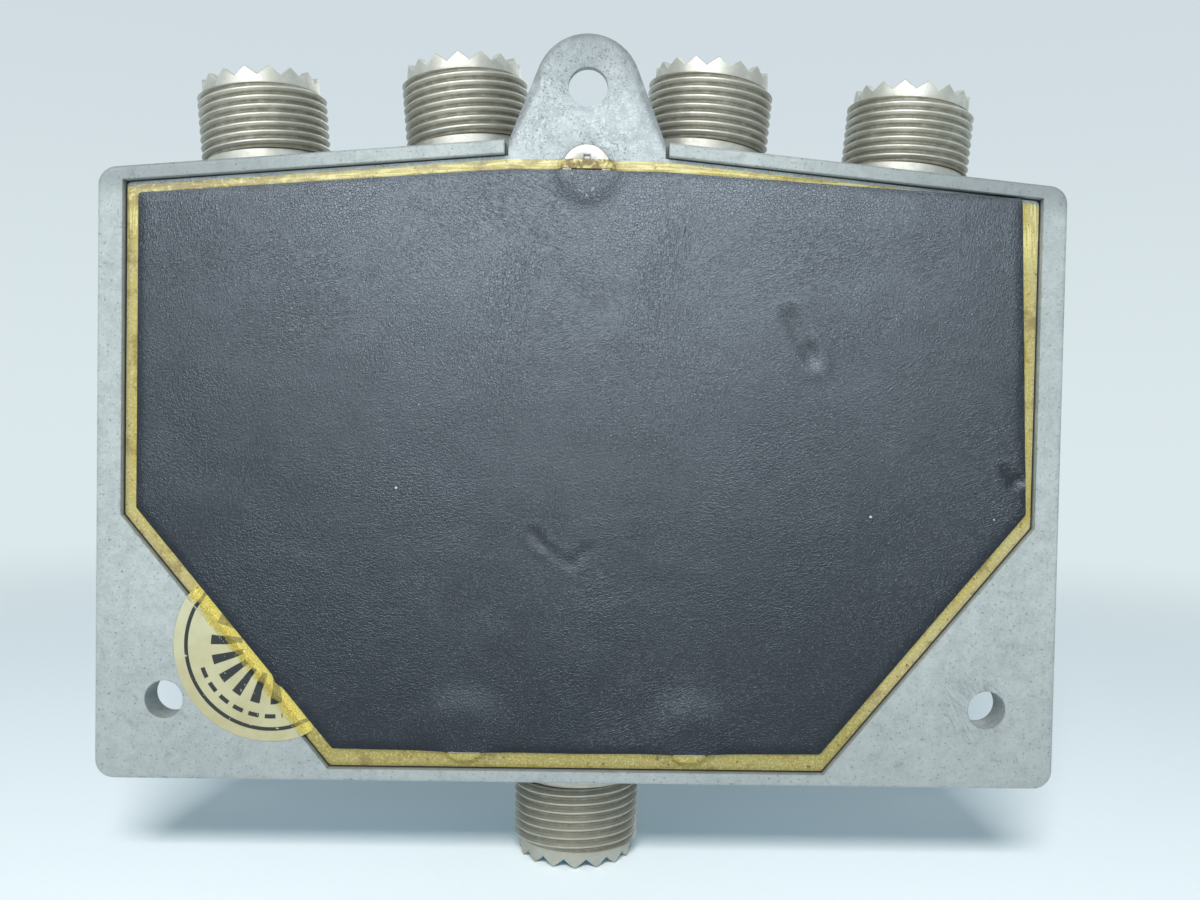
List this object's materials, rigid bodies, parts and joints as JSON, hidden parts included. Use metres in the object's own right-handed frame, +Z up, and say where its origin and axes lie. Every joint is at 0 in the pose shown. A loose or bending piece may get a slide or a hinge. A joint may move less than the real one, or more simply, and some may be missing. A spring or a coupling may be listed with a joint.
{
  "type": "coaxial antenna switch",
  "caption": "Die-cast coaxial antenna switch with threaded sockets on a pitched top and a common socket below, a rear cover with a hanging lug, and a rotary selector knob in front.",
  "frame": {"origin": "in the back plane of the flange, midway between the two wall-screw holes", "axes": "+Z up towards the four antenna sockets, +Y backwards into the wall, so the knob points to -Y; +X to the right as seen by someone who faces the knob"},
  "size_m": [0.114, 0.0439, 0.1012],
  "materials": {
    "cast_housing": "die-cast, raw, mottled grey",
    "cover_metal": "plated sheet",
    "glue": "aged yellow glue",
    "leatherette": "black grained leatherette",
    "foil_seal": "cream foil with a worn print",
    "plated_screw": "bright plated",
    "nickel": "nickel plated brass, satin",
    "insulator": "white fluoropolymer",
    "silvered": "silver plated",
    "phenolic": "brown laminate",
    "bare_brass": "bare, turned",
    "steel": "ground",
    "acetal": "moulded",
    "dial": "satin silver with dark print",
    "knob_plastic": "moulded black",
    "knob_metal": "spun face",
    "pointer_white": "white inlay"
  },
  "bodies": {
    "case": {"housing": "cast_housing", "rear_cover": "cover_metal", "cover_adhesive": "glue", "rear_sheet": "leatherette", "inspection_sticker": "foil_seal", "cover_screws": "plated_screw", "socket_shell_1": "nickel", "socket_insulator_1": "insulator", "centre_contact_1": "silvered", "line_strip_1": "silvered", "socket_shell_2": "nickel", "socket_insulator_2": "insulator", "centre_contact_2": "silvered", "line_strip_2": "silvered", "socket_shell_3": "nickel", "socket_insulator_3": "insulator", "centre_contact_3": "silvered", "line_strip_3": "silvered", "socket_shell_4": "nickel", "socket_insulator_4": "insulator", "centre_contact_4": "silvered", "line_strip_4": "silvered", "socket_shell_common": "nickel", "socket_insulator_common": "insulator", "centre_contact_common": "silvered", "line_strip_common": "silvered", "socket_nuts": "nickel", "stator_plate": "phenolic", "stator_screws": "plated_screw", "fixed_contacts": "silvered", "shaft_bushing": "bare_brass", "bushing_washer": "steel", "bushing_nut": "nickel", "index_plate": "steel", "stop_pin": "steel", "front_plate": "dial"},
    "selector": {"selector_shaft": "steel", "hub_pin": "steel", "rotor_hub": "acetal", "contact_blade": "silvered", "ground_disc": "silvered", "rotor_rivets": "bare_brass", "retaining_clip": "steel", "knob_body": "knob_plastic", "knob_set_screw": "steel", "knob_cap": "knob_metal", "knob_pointer": "pointer_white", "detent_spring_a": "steel", "detent_spring_b": "steel"},
    "ball_a": {"detent_ball_a": "steel"},
    "ball_b": {"detent_ball_b": "steel"}
  },
  "joints": [
    {"name": "selector_turn", "type": "hinge", "parent": "case", "child": "selector", "pos_m": [0, 0, 0.0305], "axis": [0, 1, 0], "range_deg": [-45, 90]},
    {"name": "detent_a", "type": "slide", "parent": "selector", "child": "ball_a", "axis": [0, -1, 0], "range_m": [0, 0.00055], "stiffness_N_per_m": 300, "springref_m": 0.0005, "deforming": ["detent_spring_a"]},
    {"name": "detent_b", "type": "slide", "parent": "selector", "child": "ball_b", "axis": [0, -1, 0], "range_m": [0, 0.00055], "stiffness_N_per_m": 300, "springref_m": 0.0005, "deforming": ["detent_spring_b"]}
  ]
}
